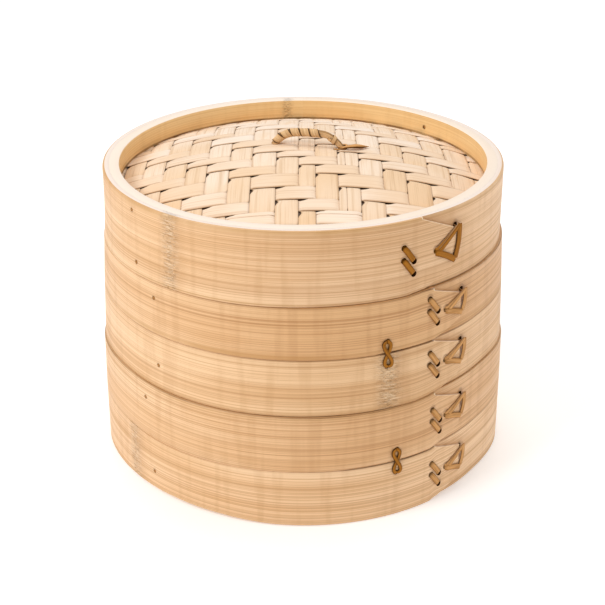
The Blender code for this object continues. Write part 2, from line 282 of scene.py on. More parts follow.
def node_scar(g, colour, height, noises, row, tints, contrast):
    """A planed-off joint of the cane: raised flakes, pits, a dark side."""
    (along, broad, ragged), (place, width, strength), (dark, pale) = noises, row, tints
    wavy = g.math("ADD", along, g.times(broad, 5.0))
    near = g.near(wavy, place + 2.5, width)
    beside = g.near(wavy, place + 2.5 + width * 0.7, width * 0.8)
    flakes = g.times(near, g.steps(ragged, 0.49, 0.6))
    pits = g.times(near, g.steps(ragged, 0.44, 0.34))
    colour = g.mix(g.times(beside, 0.22 * contrast), colour, dark)
    colour = g.mix(g.times(flakes, 0.42 * strength), colour, pale)
    colour = g.mix(g.times(pits, 0.7 * strength), colour, dark)
    return colour, g.math("ADD", height, g.times(g.math("SUBTRACT", flakes, pits), 2.4))


def lap_end(g, colour, light_and_shade, dark):
    """The band's tint laid on by azimuth as painted shade, with a painted highlight along the edge and a
    painted shadow where its outer layer ends.
    """
    beyond, corner, azimuth_shade = g.attribute("lap")
    colour = g.mix(azimuth_shade, colour, light_and_shade, "MULTIPLY")
    # Painted shadow of the outer layer's end on the layer beneath, darkest towards the top corner.
    shade = g.times(g.steps(beyond, 0.3, 20.0, 0.5, 0.0), g.steps(beyond, 0.0, 0.3))
    colour = g.mix(g.times(shade, corner), colour, dark)
    # A painted highlight along the cut edge, strongest towards the top corner.
    line = g.times(g.near(beyond, -0.3, 0.55), corner)
    return g.mix(g.times(line, 0.9), colour, (0.93, 0.72, 0.47))


def bamboo_material(name, palette, contrast=1.0, scars=(), spots=(), edges=(), light_and_shade=None):
    """Split bamboo: fine lines along the fibre, broad soft streaks, cut edges and node scars.

    The attributes are grain (along, across, seed), mark (pale cut edge, painted shade inside a
    hole, open seam) and lap (beyond the outer layer's end, by its top corner, how fully to lay
    on the tint as painted shade). Scars are (along, width, strength), painted shade spots (along,
    across, radius, strength) and edges (across, width, strength, colour), painted shade along an
    edge, where no colour means the seam's dark painted shade.
    """
    light, middle, dark, pale, scar = palette
    g = Graph(name)
    along, across, seed = g.attribute("grain")
    is_pale, hole_shade, opening = g.attribute("mark")
    grain = along, g.math("ADD", across, g.times(seed, 37.0)), seed
    fibre = g.streaks(grain, 150.0, 0.3)
    thread = g.streaks(grain, 420.0, 0.62, 1.0)
    streak = g.streaks(grain, 900.0, 2.4)
    broad = g.streaks(grain, 90.0, 13.0)
    # Faint bars across the fibre: painted shade, as from the strip's slight undulations.
    bars = g.streaks(grain, 5.5, 70.0)
    ragged = g.streaks(grain, 4.2, 0.8, 3.0, 0.65)
    colour = g.layers(g.mix(g.steps(broad, 0.32, 0.68), middle, light),
                      (streak, 0.5, 0.72, 0.42 * contrast, dark), (streak, 0.46, 0.3, 0.4, light),
                      (thread, 0.5, 0.66, 0.5 * contrast, dark), (thread, 0.44, 0.3, 0.5, light),
                      (fibre, 0.48, 0.72, 0.5 * contrast, dark), (fibre, 0.45, 0.28, 0.45, light),
                      (bars, 0.48, 0.7, 0.2 * contrast, dark))
    height = g.math("ADD", g.times(fibre, 0.6), g.times(thread, 0.5))
    for row in scars:
        colour, height = node_scar(g, colour, height, (along, broad, ragged), row, (dark, scar), contrast)
    uneven = g.steps(g.noise(g.vector(g.math("DIVIDE", along, 24.0), 0.0, seed)), 0.3, 0.65, 0.45, 1.0)
    # Soft bands along the edges: dark painted shade in the seams where no colour is given, golden painted
    # shade bands otherwise.
    for place, width, strength, shade in edges:
        soft_band = g.times(g.near(across, place, width), uneven)
        if not shade:
            soft_band = g.times(soft_band, opening)
        colour = g.mix(g.times(soft_band, strength, True), colour, shade or PAINTED_SHADE)
    flat = g.vector(along, across, 0.0)
    # Painted shade round each hole, where a strand or peg sits.
    for *place, radius, strength in spots:
        ring = g.steps(g.distance(flat, place), radius, radius + 1.0, strength, 0.0)
        colour = g.mix(ring, colour, PAINTED_SHADE)
    if light_and_shade:
        colour = lap_end(g, colour, light_and_shade, dark)
    colour = g.mix(g.times(is_pale, g.steps(broad, 0.1, 0.6, 0.85, 1.0)), colour, pale)
    # Near-black painted shade inside holes and slots.
    colour = g.mix(hole_shade, colour, (0.085, 0.036, 0.012))
    normal = g.bump(height, 0.00012)
    specular = g.times(g.math("SUBTRACT", 1.0, hole_shade), 0.45)
    return g.finish(colour, g.steps(streak, 0.3, 0.7, 0.42, 0.56), normal, specular)


def splint_material(name, light, middle, dark):
    """Pale splints: fine even lines, with painted shade along their edges and where they pass beneath."""
    g = Graph(name)
    along, across, seed = g.attribute("grain")
    tint, edge, under_shade = g.attribute("mark")
    grain = along, g.math("ADD", across, g.times(seed, 23.0)), seed
    fibre, streak = g.streaks(grain, 26.0, 0.38), g.streaks(grain, 70.0, 1.5)
    patch = g.streaks(grain, 24.0, 9.0, 3.0)
    colour = g.layers(g.mix(tint, light, middle), (streak, 0.5, 0.72, 0.5, dark),
                      (fibre, 0.52, 0.72, 0.4, dark), (patch, 0.5, 0.75, 0.6, middle))
    # Painted shade along the edges.
    colour = g.mix(g.times(edge, 0.7), colour, (0.42, 0.22, 0.09))
    # Near-black painted shade where a splint passes beneath the others.
    colour = g.mix(under_shade, colour, (0.07, 0.028, 0.010))
    height = g.math("ADD", g.times(fibre, 0.7), g.times(streak, 0.5))
    normal = g.bump(height, 0.00008)
    return g.finish(colour, g.steps(streak, 0.3, 0.7, 0.46, 0.6), normal, specular=0.3)


def strand_material(name, light, middle, dark):
    """Split rattan or cane, lighter along its crown, with painted shade and highlight along its edges."""
    g = Graph(name)
    along, across, seed = g.attribute("grain")
    soft_band, shaded, pale = g.attribute("mark")
    grain = along, g.math("ADD", across, g.times(seed, 11.0)), seed
    fibre, streak = g.streaks(grain, 9.0, 0.22), g.streaks(grain, 14.0, 0.8)
    colour = g.layers(g.mix(soft_band, middle, light), (streak, 0.45, 0.7, 0.45, dark),
                      (fibre, 0.5, 0.7, 0.45, dark))
    # Painted highlight along the pale edges, then painted shade along the dark edges.
    colour = g.mix(pale, colour, (0.62, 0.40, 0.22))
    colour = g.mix(shaded, colour, (0.07, 0.028, 0.008))
    normal = g.bump(g.math("ADD", fibre, streak), 0.00012)
    return g.finish(colour, g.steps(streak, 0.3, 0.7, 0.55, 0.72), normal, specular=0.08)


# Painted shade colours: dark brown in the seams and round the holes, golden in bands by the edges.
PAINTED_SHADE, GOLDEN_SHADE = (0.20, 0.085, 0.025), (0.55, 0.30, 0.09)
# How fully each band's tint is laid on by azimuth: painted shade, fullest at the front, least at the left
# where the light falls.
AZIMUTH_SHADE = ((-80, -55, -30, 0, 35, 60, 100), (0.35, 0.25, 0.4, 1.0, 1.0, 0.75, 0.6))  # by azimuth
BAND_PALETTE = ((0.90, 0.60, 0.345), (0.79, 0.48, 0.24), (0.50, 0.245, 0.085),
                (0.86, 0.735, 0.645), (0.95, 0.72, 0.48))
WALL_PALETTE = ((0.92, 0.64, 0.31), (0.86, 0.545, 0.23), (0.57, 0.30, 0.09), (0.90, 0.77, 0.65),
                (0.59, 0.33, 0.11))
SLAT_PALETTE = ((0.86, 0.64, 0.40), (0.78, 0.53, 0.30), (0.52, 0.30, 0.13), (0.88, 0.72, 0.55),
                (0.68, 0.45, 0.24))
FLOOR_BAR = bamboo_material("bar_bamboo", BAND_PALETTE)
FLOOR_SLAT = bamboo_material("floor_bamboo", SLAT_PALETTE)
SPLINT_ALONG = splint_material("splint_columns", (0.93, 0.775, 0.635), (0.82, 0.57, 0.35),
                               (0.60, 0.38, 0.20))
# The rows are a paler copy of the columns' colours: painted light, as they face the light differently.
SPLINT_ACROSS = splint_material("splint_rows", (0.94, 0.80, 0.675), (0.84, 0.60, 0.39),
                                (0.64, 0.42, 0.25))
RATTAN_DARK = strand_material("rattan_dark", (0.44, 0.172, 0.020), (0.26, 0.09, 0.007),
                              (0.105, 0.030, 0.002))
RATTAN_TAN = strand_material("rattan_tan", (0.70, 0.37, 0.14), (0.48, 0.215, 0.058),
                             (0.21, 0.078, 0.013))
CANE = strand_material("cane", (0.80, 0.53, 0.28), (0.64, 0.37, 0.16), (0.30, 0.14, 0.04))


# ---------------- hoops

EASE = ((0.0, 0.5), (0.1, 0.25), (0.28, 0.09), (0.6, 0.0))  # in from the edge, below the face
# How each seam runs round the hoops: (azimuth, how far it strays upwards, how open it is and how dark its
# painted shade).
SEAMS = {
    "level": ((0, 0.0, 0.5),),
    "base": ((-62, 0.0, 0.2), (-50, 1.2, 0.2), (-38, 1.9, 0.2), (-24, 1.7, 0.2), (-8, 0.5, 0.2),
             (38.4, 0.0, 0.2), (39.6, 1.2, 0.2), (60, 0.9, 0.2), (80, 0.0, 0.2)),
    "lower": ((-70, -0.2, 0.12), (-10, -0.2, 0.12), (9, -0.3, 0.3), (14, -0.3, 1.2),
              (38.3, -0.2, 1.2), (39.5, 1.1, 1.0), (60, 0.8, 0.4), (100, 0.0, 0.3)),
    "between": ((-70, 0.1, 0.8), (20, 0.1, 0.8), (32, 0.1, 0.3), (36, 0.8, 0.4), (40, 2.0, 0.6),
                (60, 2.0, 0.7), (80, 1.0, 0.5), (110, 0.0, 0.5)),
    "upper": ((-70, 0.0, 0.15), (-40, 0.0, 0.25), (19, 0.2, 0.4), (23, 0.3, 1.2), (37, 0.4, 1.1),
              (40, 0.9, 0.8), (60, 0.8, 0.5), (100, 0.0, 0.3)),
    "lid": ((-60, 0.1, 0.1), (-30, 0.2, 0.25), (10, 0.3, 0.4), (28, 0.3, 0.5), (33, 1.3, 1.1),
            (60, 1.2, 0.9), (90, 0.4, 0.5), (120, 0.0, 0.3)),
    "rim": ((-30, 0.0, 2.0), (0, 0.6, 2.0), (30, 1.0, 2.0), (60, 1.1, 2.0), (90, 0.6, 2.0),
            (135, 0.0, 2.0))}
LEVEL = ("level", "level")
LID_FLARE = 1.0  # how far the lid's lower edge spreads at its left
SIDE_SPREAD = ((0, 30, 60, 90, 117), (2.8, 2.8, 2.5, 1.5, 0.2))  # of the tiers' sides, by height
BAND_SEAMS = {"lower_tier_lower_band": ("base", "lower"), "lower_tier_upper_band": ("lower", "between"),
              "upper_tier_lower_band": ("between", "upper"), "upper_tier_upper_band": ("upper", "lid"),
              "lid_hoop": ("lid", "rim"), "lid_rim_liner": ("level", "rim")}


def seam(name, azimuth, what):
    """How far a seam strays (what = 1) or how open it is, which also sets how dark its painted shade is
    (what = 2).
    """
    table = SEAMS[name]
    return np.interp(azimuth, [row[0] for row in table], [row[what] for row in table], period=360)


def lid_flare(azimuth, share):
    """How far the lid's hoop spreads at its left, most at its lower edge."""
    leftness = smooth((15 - azimuth) / 40) * smooth((azimuth + 150) / 40)
    return LID_FLARE * leftness * (1 - share) ** 4


def spread_sides(piece, middle):
    """Lets the outer face of a tier's band stand out at its left and right."""
    for vertex in piece.data.vertices:
        azimuth, radius, height = to_polar(np.array(vertex.co) / MM)
        share = smooth((abs(azimuth) - 56) / 28) * smooth((155 - abs(azimuth)) / 45)
        if radius > middle and share > 0:
            size = 1 + share * np.interp(height, *SIDE_SPREAD) / radius
            vertex.co.x *= size
            vertex.co.y *= size


def hoop_section(inner, outer, low, high, rows, ease_low, ease_high, ease_in):
    """A hoop's section with rounded edges, as (radius, height) pairs."""
    section = [(outer - drop * ease_low, low + rise * ease_low) for rise, drop in EASE]
    start, end = low + EASE[-1][0] * ease_low, high - EASE[-1][0] * ease_high
    section += [(outer, start + (end - start) * row / rows) for row in range(1, rows)]
    section += [(outer - drop * ease_high, high - rise * ease_high) for rise, drop in EASE[::-1]]
    section += [(inner + drop * ease_in, high - rise * ease_in) for rise, drop in EASE]
    section += [(inner + drop * ease_in, low + rise * ease_in) for rise, drop in EASE[::-1]]
    return section


def hoop_mesh(name, inner, outer, low, high, seed, seams=LEVEL, columns=360, rows=9, sway=0.12,
              eases=(1, 0.3)):
    """A hoop whose face and edges wander a little, as bent strip does."""
    loops = []
    middle = (inner + outer) / 2
    for column in range(columns):
        azimuth = 360 * column / columns - 180
        x, y = cos(radians(azimuth)), sin(radians(azimuth))
        lift = sway * 0.6 * wave(2.2 * x, 2.2 * y, 1.0, seed=seed)
        rises, opens = [[float(seam(name, azimuth, what)) for name in seams] for what in (1, 2)]
        closed = [0.1 * max(0.0, 1 - opening) for opening in opens]
        sizes = [eases[0] * (0.35 + 0.85 * opening) for opening in opens]
        loop = []
        for radius, height in hoop_section(inner, outer, low, high, rows, *sizes, eases[1]):
            share = (height - low) / (high - low)
            push = sway * wave(2.5 * x, 2.5 * y, 1.5 * share, seed=seed + 3)
            if seams == BAND_SEAMS["lid_hoop"]:
                push += lid_flare(azimuth, share)
            edge = max(0.0, 1 - min(share, 1 - share) * 6)
            stray = (rises[0] - closed[0]) * (1 - share) + (rises[1] + closed[1]) * share
            loop.append(polar(azimuth, radius + (push if radius > middle else push * 0.3),
                              height + lift * edge * (seams == LEVEL) + stray))
        loops.append(loop)
    return new_piece(name, *loft(loops, close=True))


def hole_tool(places, low, high, sides=14):
    """Round cutters towards the axis, each (azimuth, height, radius)."""
    parts = ([], [])
    turns = [2 * pi * (side + 0.5) / sides for side in range(sides)]
    for azimuth, height, radius in places:
        loops = [[polar(azimuth + degrees(radius * cos(turn) / high), depth, height + radius * sin(turn))
                  for turn in turns] for depth in (low, high)]
        add_mesh(parts, *loft(loops))
    return new_piece("hole_tool", *parts)


class Lap:
    """The pointed end of a band's outer layer, by its lacing triangle."""

    def __init__(self, band, reach, shoulder):
        _, self.outer, self.low, self.high = ring_size(band)
        self.tip = legs(f"{band}_triangle")[0][0] - 0.3
        self.shoulder = shoulder
        self.top, self.bottom = self.tip - reach, self.tip - reach - 1

    def end(self, height):
        """Azimuth of the outer layer's end at each height."""
        heights = (self.low, self.low + self.shoulder, self.high - self.shoulder, self.high)
        return np.interp(height, heights, (self.bottom, self.tip, self.tip, self.top))

    def along(self, azimuth, face_azimuth, face_height):
        """Distance along the strip from its pointed end."""
        turn = 0 if face_azimuth >= self.end(face_height) else 360
        return (azimuth - self.tip + turn) * radians(1) * self.outer

    def tool(self, depth=1.15, fade=34.0, columns=26):
        """The cutter that takes the outer layer away beyond its end."""
        steps = np.linspace(0, 1, 7)
        heights = [self.low - 3, self.low]
        heights += list(self.low + self.shoulder * steps[1:])
        heights += list(self.high - self.shoulder * steps[::-1][:-1])
        heights += [self.high, self.high + 4]
        loops = []
        for column in range(columns + 1):
            share = (column / columns) ** 1.3
            floor = self.outer - depth + (depth + 0.35) * share ** 1.5
            starts = [float(self.end(height)) for height in heights]
            places = [(start + (self.tip + fade - start) * share, height)
                      for start, height in zip(starts, heights)]
            loops.append([polar(azimuth, floor, height) for azimuth, height in places]
                         + [polar(azimuth, self.outer + 3, height) for azimuth, height in places[::-1]])
        points, faces = loft(loops)
        size = len(loops[0])
        ends = [(first + row, first + row + 1, first + size - 2 - row, first + size - 1 - row)
                for first in (0, len(points) - size) for row in range(len(heights) - 1)]
        return new_piece("lap_tool", points, faces[:-2] + ends)


def paint_hoop(piece, inner, outer, low, high, seed, seams=LEVEL, lap=None, pale_rim=True):
    """Grain along the hoop, pale cut faces, seams and painted shade inside its holes."""
    corners, middles, normals = corner_arrays(piece.data)
    azimuth, radius, height = to_polar(corners)
    face_azimuth, face_radius, face_height = to_polar(middles)
    azimuth = face_azimuth + (azimuth - face_azimuth + 180) % 360 - 180

    def levelled(height, azimuth):
        start, end = low + seam(seams[0], azimuth, 1), high + seam(seams[1], azimuth, 1)
        return low + (height - start) / (end - start) * (high - low)

    true_height, true_face_height = height, face_height
    height, face_height = levelled(height, azimuth), levelled(face_height, face_azimuth)
    outward = np.stack([np.sin(np.radians(face_azimuth)), -np.cos(np.radians(face_azimuth))], -1)
    facing = np.abs((outward * normals[:, :2]).sum(-1))
    rim = np.abs(normals[:, 2]) > (0.95 if lap else 0.6)
    layer = np.where(face_radius < (inner + outer) / 2, 3.0, 1.0)
    along = (azimuth + 180) * radians(1) * outer
    light = np.where(rim & (face_height > (low + high) / 2), float(pale_rim), 0.0)
    if lap:
        beyond = (face_azimuth - lap.end(true_face_height)) * radians(1) * outer
        along = np.array([lap.along(*place)
                          for place in zip(azimuth, face_azimuth, true_face_height)])
        step = (facing < 0.6) & (face_radius > outer - 1.3) & (np.abs(beyond) < 1.2)
        light = np.where(step, 0.4, light)
        reach = (azimuth - lap.end(true_height)) * radians(1) * outer
        corner = np.clip((height - high + lap.shoulder + 2) / 3, 0.1, 1)
        on_face = np.where((facing > 0.6) & (face_radius > (inner + outer) / 2), reach, -99.0)
        # The lap's third value says how fully the band's tint is laid on as painted shade at this
        # azimuth.
        store(piece.data, "lap", np.stack([on_face, corner, np.interp(azimuth, *AZIMUTH_SHADE)], -1))
    # Side faces within the hoop, inside its holes and slots, take painted shade.
    hollow = (facing < 0.6) & (face_height > low + 1) & (face_height < high - 1) & (light == 0)
    across = np.where(rim, height + radius - outer, height)
    store(piece.data, "grain", np.stack([along, across, seed + layer], -1))
    # How open the nearer seam is, which sets the painted shade along that edge.
    opening = np.where(height > (low + high) / 2, seam(seams[1], azimuth, 2), seam(seams[0], azimuth, 2))
    store(piece.data, "mark", np.stack([light, np.where(hollow, 1.0, 0.0), opening], -1))


LACING_HOLE, STITCH_HOLE, PEG_HOLE, TIE_HOLE = 1.45, 1.55, 1.0, 1.3  # radii


def triangle_corners(band):
    """Azimuth and height of a triangle's apex, left corner and foot."""
    apex, left, foot = legs(f"{band}_triangle")
    if band == "lid_hoop":
        return (apex[0] - 0.5, apex[1]), left, (foot[0] - 0.5, foot[1] + 0.6)
    return (apex[0] + 0.4, apex[1] - 1.1), left, (foot[0] + 0.5, foot[1] + 1.2)


def lacing_holes(band):
    holes = [(*corner, LACING_HOLE) for corner in triangle_corners(band)]
    for part in ("upper", "lower"):
        holes += [(*leg, STITCH_HOLE) for leg in legs(f"{band}_stitch_{part}")]
    return holes


def make_band(band, body, seed, reach, shoulder, scars, pegs=(), ties=(), shades=(), light_and_shade=(1, 1, 1),
              pale_rim=False):
    """One band: its bent strip with a pointed lap, its holes and its own tint of bamboo, laid on by
    azimuth as painted shade.
    """
    inner, outer, low, high = ring_size(band)
    lap, seams = Lap(band, reach, shoulder), BAND_SEAMS[band]
    sizes = (inner - 0.28, outer, low, high) if pale_rim else (inner, outer, low, high)
    piece = hoop_mesh(f"{band}_bamboo", *sizes, seed, seams, eases=(1, 0.05 if pale_rim else 0.3))
    cut(piece, lap.tool())
    holes = lacing_holes(band)
    holes += [(*place, PEG_HOLE) for place in pegs] + [(*place, TIE_HOLE) for place in ties]
    cut(piece, hole_tool(holes, inner - 2, outer + 3))
    paint_hoop(piece, inner, outer, low, high, seed, seams, lap, pale_rim)
    if not pale_rim:
        spread_sides(piece, (inner + outer) / 2)
    # Painted shade round each hole, lighter round the pegs.
    spots = [(lap.along(azimuth, azimuth, height), height, size - 0.2, 0.25 if size == PEG_HOLE else 0.4)
             for azimuth, height, size in holes]
    marks = [(lap.along(azimuth, azimuth, (low + high) / 2), width, 1.2) for azimuth, width in scars]
    # Painted shade in the seam at the lower edge and, unless the top is a pale rim, at the upper edge;
    # then golden painted shade bands by the edges.
    edges = [(low, 0.65, 0.9, None)] + ([] if pale_rim else [(high, 0.65, 0.9, None)])
    edges += [(low + place if place > 0 else high + place, width, strength, GOLDEN_SHADE)
              for place, width, strength in shades]
    finish = bamboo_material(f"{band}_finish", BAND_PALETTE, 1.0, marks, spots, edges, light_and_shade)
    return finish_piece(piece, body, finish, band)


def make_wall(node, body, seed, pegs=(), slots=(), scars=()):
    """An inner hoop of golden bamboo."""
    inner, outer, low, high = ring_size(node)
    seams = BAND_SEAMS.get(node, LEVEL)
    piece = hoop_mesh(f"{node}_bamboo", inner, outer, low, high, seed, seams, rows=5, sway=0.05,
                      eases=(0.05, 0.5))
    for bar in slots:
        lower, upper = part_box(bar)
        lower, upper = lower / MM - Vector((0.3, 20, 0.3)), upper / MM + Vector((0.3, 20, 0.3))
        corners = ((lower.x, lower.y), (upper.x, lower.y), (upper.x, upper.y), (lower.x, upper.y))
        loops = [[Vector((x, y, z)) for x, y in corners] for z in (lower.z, upper.z)]
        cut(piece, new_piece("slot_tool", *loft(loops)))
    if pegs:
        cut(piece, hole_tool([(*place, PEG_HOLE) for place in pegs], inner - 2, outer + 2))
    paint_hoop(piece, inner, outer, low, high, seed, seams)
    scale = radians(1) * outer
    # Painted shade round the peg holes and along the wall's lower edge.
    spots = [((azimuth + 180) * scale, height, 0.9, 0.4) for azimuth, height in pegs]
    marks = [((azimuth + 180) * scale, width, 1.2) for azimuth, width in scars]
    finish = bamboo_material(f"{node}_finish", WALL_PALETTE, 0.5, marks, spots,
                             [(low + 0.8, 1.1, 1.8, None)])
    return finish_piece(piece, body, finish, node)


# ---------------- woven panel

COLUMNS, ROWS = range(-3, 14), range(-7, 11)
COLUMN_START, ROW_START = -91.0, -97.0  # left edge of the first column, front edge of the first row
COLUMN_WIDTHS = (10.5, 11.0, 11.5, 10.5, 11.3, 10.9, 12.1, 11.0, 8.2, 11.0, 10.5, 11.5, 11.4, 11.9,
                 11.3, 12.4, 11.0)
ROW_WIDTHS = (10.5, 10.5, 9.8, 9.2, 11.0, 12.5, 9.3, 9.8, 7.4, 10.0, 9.9, 13.4, 8.9, 12.3, 11.0,
              11.0, 10.5, 11.0)
SPLINT_THICK, WEAVE_LIFT, DIVE = 0.42, 0.5, 2.5
NOTCH_DEPTH, NOTCH_REACH = 1.5, 3.6  # the open corner where a float dives under its neighbour
PANEL_THICK = 1.6
_, panel_reach, _, panel_top = ring_size("lid_woven_panel")
liner_inner, _, liner_low, _ = ring_size("lid_rim_liner")
panel_edge, panel_flat = liner_low - 0.3, liner_inner - 0.6


def panel_height(x, y):
    """Height of the middle of the weave."""
    share = min(math.hypot(x, y) / panel_flat, 1)
    raised = 0.7 * smooth((share - 0.7) / 0.3) * smooth(y / 60)
    return panel_edge - PANEL_THICK / 2 + (panel_top - panel_edge) * (1 - share ** 2) + raised


def column_is_over(column, row):
    """Two over, two under, one row nearer the front for each column to the right."""
    return (row + column) % 4 in (0, 3)


def splint_edges(start, widths, indices):
    """Where each splint begins, and the last one ends."""
    return dict(zip((*indices, indices[-1] + 1), np.cumsum((start, *widths)).tolist()))


def row_bow(x):
    """The rows curve towards the back at both sides."""
    return 0.0006 * (x + 25) ** 2


def column_lean(x, y):
    """The right-hand columns lean to the left towards the back."""
    return -0.00035 * max(0.0, y + 10) ** 2 * smooth(x / 60)


def weave_level(place, edges, indices, is_over):
    """1 where the splint lies on top, -1 beneath, and between as it dives."""
    inner = [i for i in indices if edges[i] <= place < edges[i + 1]]
    if not inner:
        return -1.0 if place > 0 else 1.0
    i = inner[0]
    level = 1.0 if is_over(i) else -1.0
    for other, gap in ((i - 1, place - edges[i]), (i + 1, edges[i + 1] - place)):
        if other in indices and is_over(other) != is_over(i) and gap < DIVE:
            level *= smooth(0.5 + 0.5 * gap / DIVE) * 2 - 1
    return level


def splint(parts, paint, side, centre, width, seed, level, split=0.0, notched=True):
    """One splint of the weave. side 0 runs front to back, side 1 runs left to right."""
    limit = panel_reach - 0.4
    if abs(centre) >= limit - 2:
        return
    half = sqrt(limit ** 2 - centre ** 2)
    count = max(8, int(2 * half / 1.3))
    shares = (-0.5, -0.485, -0.4, -0.2, 0.0, 0.2, 0.4, 0.485, 0.5)
    outline = [(v, 0.5 if abs(v) < 0.495 else 0.2) for v in shares]
    outline += [(v, -w) for v, w in outline[::-1]]
    loops, marks, grains = [], [], []
    own_tint = 0.55 + 0.9 * wave(seed * 3.1, 0.5) + 0.4 * wave(seed * 7.7, 2.0)
    diving_end, notched_side = (1, -1) if side == 0 else (-1, 1)
    for step in range(count + 1):
        place = half * (2 * step / count - 1)
        lie = level(place)
        pinch = 0.3 * (1 - lie * lie)
        drift = 0.12 * wave(place / 38, seed * 1.7)
        drift += column_lean(centre, place) if side == 0 else row_bow(place)
        wide = width - pinch + 0.1 * wave(place / 15, seed * 2.3)
        going = lie - level(place + diving_end * NOTCH_REACH)
        notch = NOTCH_DEPTH * smooth(going / 2) if notched and lie > -0.3 else 0.0
        bow = 0.14 * max(lie, 0.0)
        end_zone = smooth((abs(place) - half + 14) / 14)
        loop = []
        for v, w in outline:
            across = centre + drift + split + v * wide
            if v * notched_side > 0.1:
                across -= notched_side * notch * min(1, (v * notched_side - 0.1) / 0.35)
            inside = max(limit ** 2 - across ** 2, 9.0)
            run = place + math.copysign(sqrt(inside) - half, place) * end_zone
            x, y = (across, run) if side == 0 else (run, across)
            inward = min(1.0, limit / math.hypot(x, y))
            x, y = x * inward, y * inward
            crown = 0.2 * (0.25 - v * v) * 4 * (0.5 + 0.5 * lie)
            z = panel_height(x, y) + lie * WEAVE_LIFT + bow + crown - 0.12 + w * SPLINT_THICK
            loop.append(Vector((x, y, z)))
            # How far the splint lies beneath the others, for its painted shade.
            hidden = smooth(max(0.0, -lie) * 1.8)
            # Painted shade along each splint's edges: strongest along a row's front edge, where its
            # shadow falls, and where the splint dives.
            front = side == 1 and v < 0
            shaded = 0.75 + 0.5 * wave(place / 9, seed) if front else 0.2
            edge = smooth((abs(v) - 0.455) / 0.03) * (shaded + 0.3 * (1 - lie * lie))
            if w < 0.25:
                edge = 1.0 if front else 0.5
            # Each splint's own random tone, plus a painted sheen: lighter towards the back.
            tint = own_tint - 0.0052 * y + 0.35 * wave(place / 22, seed * 1.3)
            marks.append((min(max(tint, 0), 1), min(max(edge, 0), 1), 0.95 * hidden))
            grains.append((place, v * wide, seed))
        loops.append(loop)
    add_mesh(parts, *loft(loops))
    paint.extend(zip(grains, marks))


def weave_piece(name, side, indices, edges, crossing_indices, crossing_edges, material, split_at):
    parts, paint = ([], []), []
    rng = random.Random(41 + side)
    for i in indices:
        centre = (edges[i] + edges[i + 1]) / 2
        width = edges[i + 1] - edges[i] - rng.uniform(0.02, 0.16)
        seed = 5.0 * side + i * 0.731 + 20

        def is_over(j, i=i):
            return column_is_over(i, j) if side == 0 else not column_is_over(j, i)

        def level(place, is_over=is_over, centre=centre):
            bend = row_bow(centre) if side == 0 else column_lean(place, centre + row_bow(place))
            return weave_level(place - bend, crossing_edges, crossing_indices, is_over)

        if i in split_at:
            share = split_at[i]
            narrow, wide = width * share - 0.03, width * (1 - share) - 0.03
            splint(parts, paint, side, centre, narrow, seed, level, -(width - narrow) / 2, side == 0)
            splint(parts, paint, side, centre, wide, seed, level, (width - wide) / 2, side == 1)
        else:
            splint(parts, paint, side, centre, width, seed, level)
    piece = new_piece(name, *parts)
    paint_points(piece, *zip(*paint))
    return finish_piece(piece, "lid", material, "lid_woven_panel", sharp=50)


def make_weave():
    columns = splint_edges(COLUMN_START, COLUMN_WIDTHS, COLUMNS)
    rows = splint_edges(ROW_START, ROW_WIDTHS, ROWS)
    weave_piece("lid_weave_columns", 0, COLUMNS, columns, ROWS, rows, SPLINT_ALONG, {7: 0.36})
    weave_piece("lid_weave_rows", 1, ROWS, rows, COLUMNS, columns, SPLINT_ACROSS, {-5: 0.73})


# ---------------- lacing

STRAND_OUTLINE = ((-0.5, -0.1), (-0.49, 0.22), (-0.4, 0.38), (-0.18, 0.47), (0.0, 0.5),
                  (0.18, 0.47), (0.4, 0.38), (0.49, 0.22), (0.5, -0.1), (0.4, -0.4), (-0.4, -0.4))


def strands_piece(name, strands, body, material, node):
    """Joins crowned strips in one piece.

    Each is (path, normals off its face, width, thickness, seed, taper or None, shade). Shade says
    how each edge looks: painted shade above 0, painted highlight below it.
    """
    parts, grains, marks = ([], []), [], []
    for path, normals, width, thick, seed, taper, shade in strands:
        loops, run = [], 0.0
        for i, (point, normal) in enumerate(zip(path, normals)):
            before, after = path[max(i - 1, 0)], path[min(i + 1, len(path) - 1)]
            tangent = (after - before).normalized()
            side = tangent.cross(normal).normalized()
            up = side.cross(tangent).normalized()
            run += (point - path[max(i - 1, 0)]).length
            scale = taper(i / (len(path) - 1)) if taper else 1.0
            loops.append([point + side * v * width * scale + up * w * thick * scale
                          for v, w in STRAND_OUTLINE])
            for v, w in STRAND_OUTLINE:
                grains.append((run, v * width + (3 if w < 0 else 0), seed))
                # Each edge's painted shade, above 0, or painted highlight, below 0.
                light_and_shade = shade[0 if v < 0 else 1] if abs(v) > 0.45 else 0.0
                marks.append((max(w * 5 - 1.5, 0), max(light_and_shade, 0.0), max(-light_and_shade, 0.0)))
        add_mesh(parts, *loft(loops))
    piece = new_piece(name, *parts)
    paint_points(piece, grains, marks)
    return finish_piece(piece, body, material, node, sharp=60)


STITCH_WIDTH = 2.9
DIVE_STEPS = ((-0.2, -2.4), (-0.12, -1.3), (0.0, -0.45), (0.3, 0.08), (0.8, 0.36))


